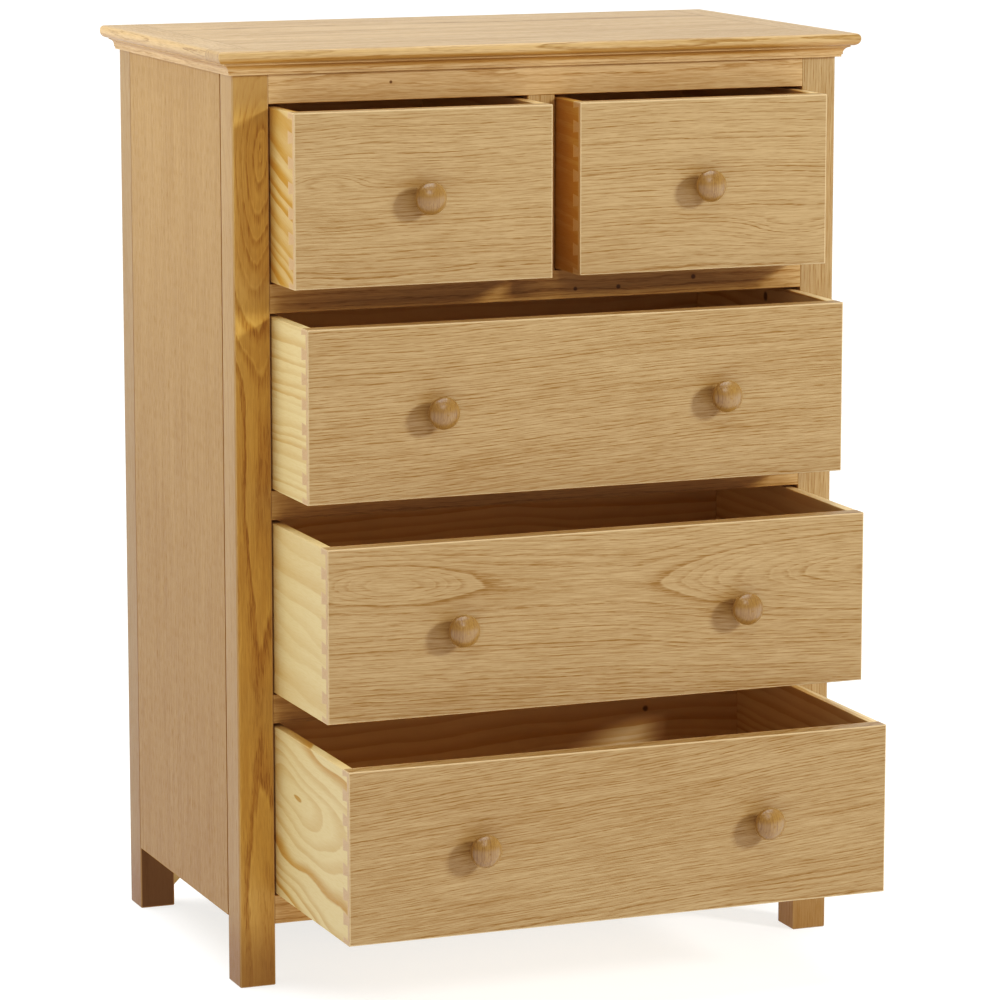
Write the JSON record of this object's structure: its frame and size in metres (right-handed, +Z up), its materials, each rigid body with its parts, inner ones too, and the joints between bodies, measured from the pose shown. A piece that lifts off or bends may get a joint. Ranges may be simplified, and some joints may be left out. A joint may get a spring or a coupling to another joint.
{
  "type": "chest of drawers",
  "caption": "Tall chest of drawers on square legs, small drawers side by side over wide ones, each on a wooden slide with turned knobs, under a moulded top.",
  "frame": {"origin": "on the floor, under the middle of the chest's box as it stands with its drawers partly open", "axes": "+Z up, -Y out of the front where the drawers open, +X to the right as seen from the front"},
  "size_m": [0.848, 0.766, 1.16],
  "materials": {
    "oak_frame": "satin lacquered oak",
    "oak_top": "satin lacquered oak",
    "oak_panel": "satin lacquered oak veneer",
    "oak_front": "satin lacquered oak",
    "oak_knob": "semi-gloss lacquered oak",
    "pine": "clear lacquered pine",
    "plywood": "sanded plywood",
    "zinc_steel": "bright zinc"
  },
  "bodies": {
    "carcass": {"top_panel": "oak_top", "top_front_strip": "oak_top", "top_left_strip": "oak_top", "top_right_strip": "oak_top", "cornice_front": "oak_frame", "cornice_left": "oak_frame", "cornice_right": "oak_frame", "cornice_back": "oak_frame", "front_left_leg": "oak_frame", "front_right_leg": "oak_frame", "back_left_leg": "oak_frame", "back_right_leg": "oak_frame", "left_side_panel": "oak_panel", "right_side_panel": "oak_panel", "back_panel": "plywood", "top_front_rail": "oak_frame", "upper_drawer_rail": "oak_frame", "middle_drawer_rail": "oak_frame", "lower_drawer_rail": "oak_frame", "bottom_front_rail": "oak_frame", "centre_divider": "oak_frame", "back_rails": "pine", "drawer_runners": "pine", "drawer_guides": "pine", "corner_brackets": "pine"},
    "top_left_drawer": {"top_left_drawer_front": "oak_front", "top_left_drawer_left_side": "pine", "top_left_drawer_right_side": "pine", "top_left_drawer_back": "pine", "top_left_drawer_bottom": "plywood", "top_left_drawer_knob": "oak_knob", "top_left_drawer_knob_screw": "zinc_steel"},
    "top_right_drawer": {"top_right_drawer_front": "oak_front", "top_right_drawer_left_side": "pine", "top_right_drawer_right_side": "pine", "top_right_drawer_back": "pine", "top_right_drawer_bottom": "plywood", "top_right_drawer_knob": "oak_knob", "top_right_drawer_knob_screw": "zinc_steel"},
    "upper_drawer": {"upper_drawer_front": "oak_front", "upper_drawer_left_side": "pine", "upper_drawer_right_side": "pine", "upper_drawer_back": "pine", "upper_drawer_bottom": "plywood", "upper_drawer_knobs": "oak_knob", "upper_drawer_knob_screws": "zinc_steel"},
    "middle_drawer": {"middle_drawer_front": "oak_front", "middle_drawer_left_side": "pine", "middle_drawer_right_side": "pine", "middle_drawer_back": "pine", "middle_drawer_bottom": "plywood", "middle_drawer_knobs": "oak_knob", "middle_drawer_knob_screws": "zinc_steel"},
    "lower_drawer": {"lower_drawer_front": "oak_front", "lower_drawer_left_side": "pine", "lower_drawer_right_side": "pine", "lower_drawer_back": "pine", "lower_drawer_bottom": "plywood", "lower_drawer_knobs": "oak_knob", "lower_drawer_knob_screws": "zinc_steel"}
  },
  "joints": [
    {"name": "top_left_drawer_slide", "type": "slide", "parent": "carcass", "child": "top_left_drawer", "axis": [0, -1, 0], "range_m": [-0.087, 0.243]},
    {"name": "top_right_drawer_slide", "type": "slide", "parent": "carcass", "child": "top_right_drawer", "axis": [0, -1, 0], "range_m": [-0.077, 0.253]},
    {"name": "upper_drawer_slide", "type": "slide", "parent": "carcass", "child": "upper_drawer", "axis": [0, -1, 0], "range_m": [-0.13, 0.2]},
    {"name": "middle_drawer_slide", "type": "slide", "parent": "carcass", "child": "middle_drawer", "axis": [0, -1, 0], "range_m": [-0.196, 0.134]},
    {"name": "lower_drawer_slide", "type": "slide", "parent": "carcass", "child": "lower_drawer", "axis": [0, -1, 0], "range_m": [-0.267, 0.063]}
  ]
}
